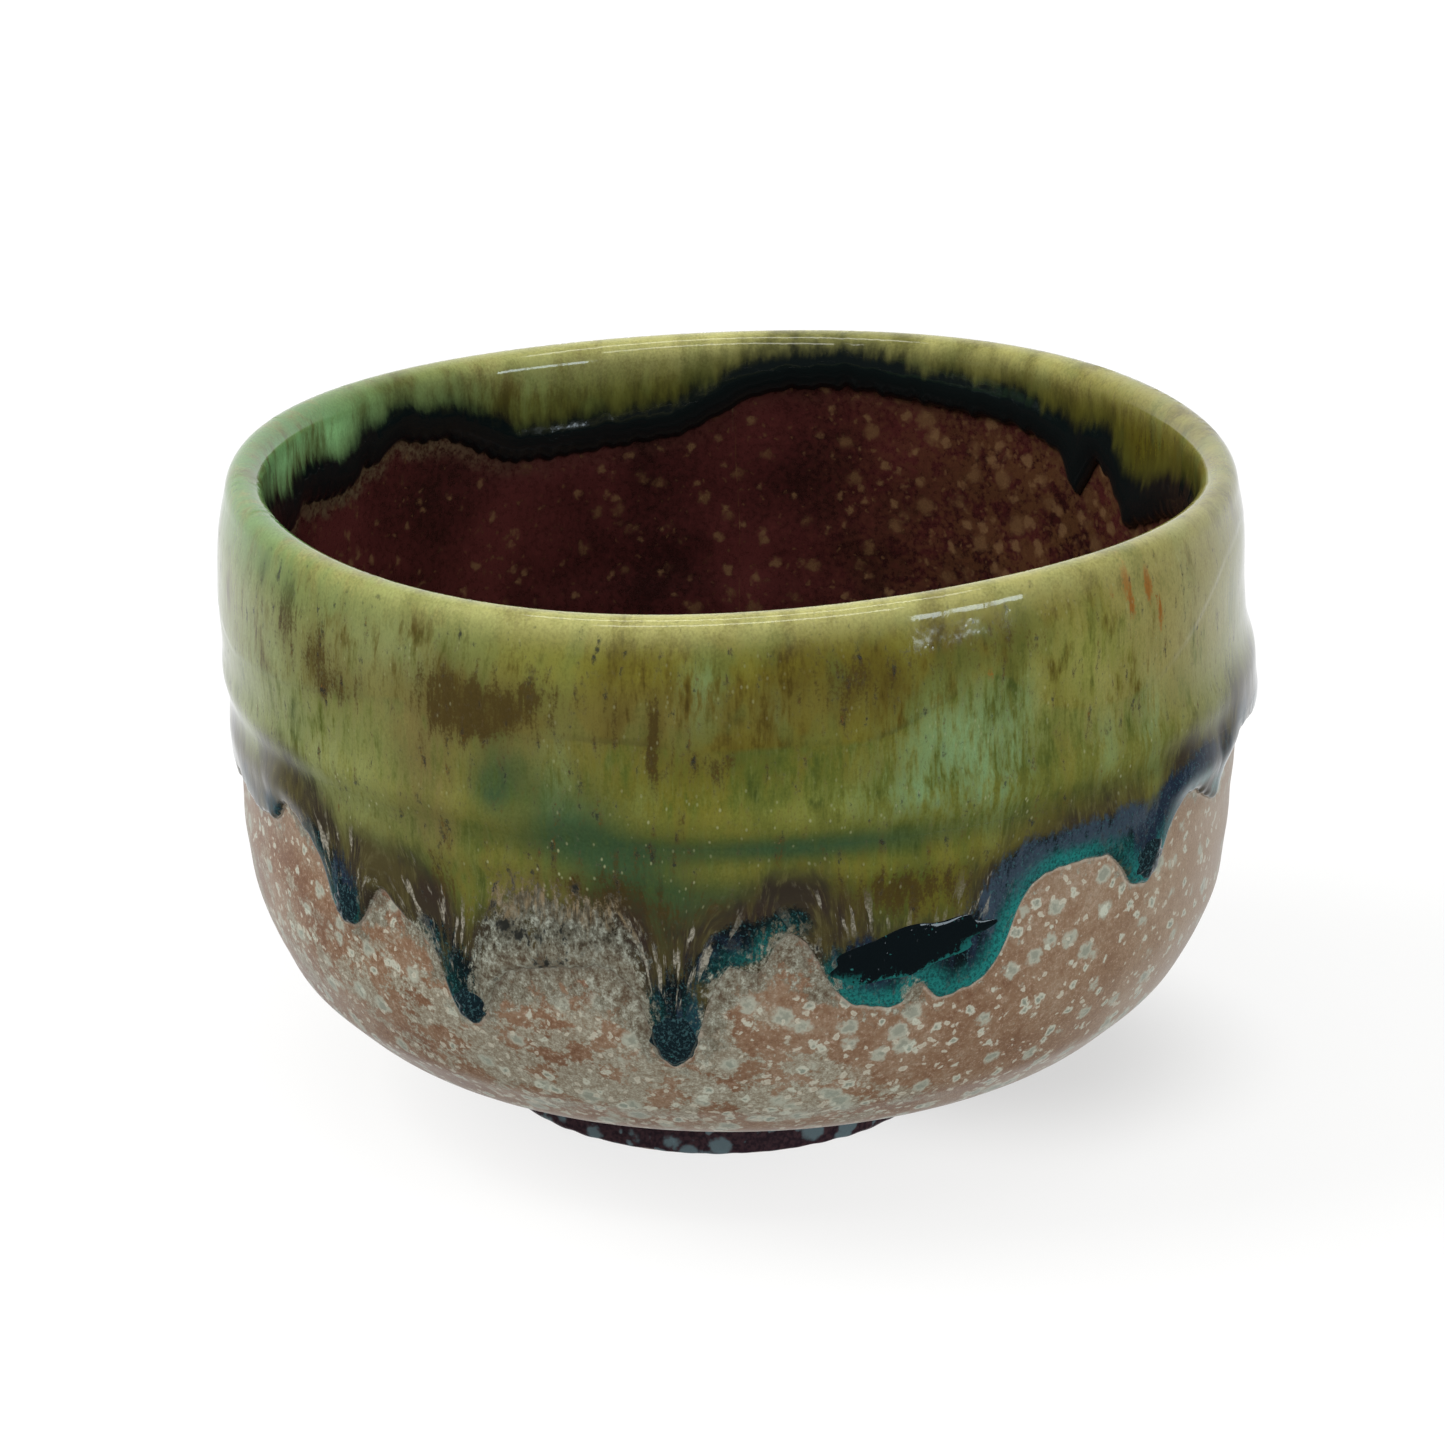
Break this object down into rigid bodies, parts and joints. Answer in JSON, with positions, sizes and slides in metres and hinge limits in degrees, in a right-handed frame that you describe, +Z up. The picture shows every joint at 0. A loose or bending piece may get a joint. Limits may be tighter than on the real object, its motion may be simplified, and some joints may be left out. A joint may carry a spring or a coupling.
{
  "type": "matcha bowl",
  "caption": "Round hand-thrown tea bowl with upright walls, a foot ring, a speckled brown base glaze and a green glaze band over the lip that runs down in drips.",
  "frame": {"origin": "centre of the foot ring's bottom face, on the surface the bowl stands on", "axes": "+Z up along the bowl's turning axis, +X to the right and -Y towards the front"},
  "size_m": [0.1212, 0.1212, 0.0777],
  "materials": {
    "stoneware": "matte",
    "foot_clay": "matte",
    "foot_wash": "satin",
    "speckled_brown_glaze": "satin",
    "dark_inner_glaze": "satin",
    "green_glaze": "gloss",
    "run_glaze": "gloss",
    "pooled_glaze": "gloss",
    "inner_pooled_glaze": "gloss"
  },
  "bodies": {
    "root": {"clay_body": "stoneware", "foot_ring": "foot_clay", "foot_glaze": "foot_wash", "outer_base_glaze": "speckled_brown_glaze", "inner_base_glaze": "dark_inner_glaze", "green_glaze_band": "green_glaze", "glaze_runs": "run_glaze", "glaze_run_pools": "pooled_glaze", "inner_glaze_pool": "inner_pooled_glaze"}
  },
  "joints": []
}
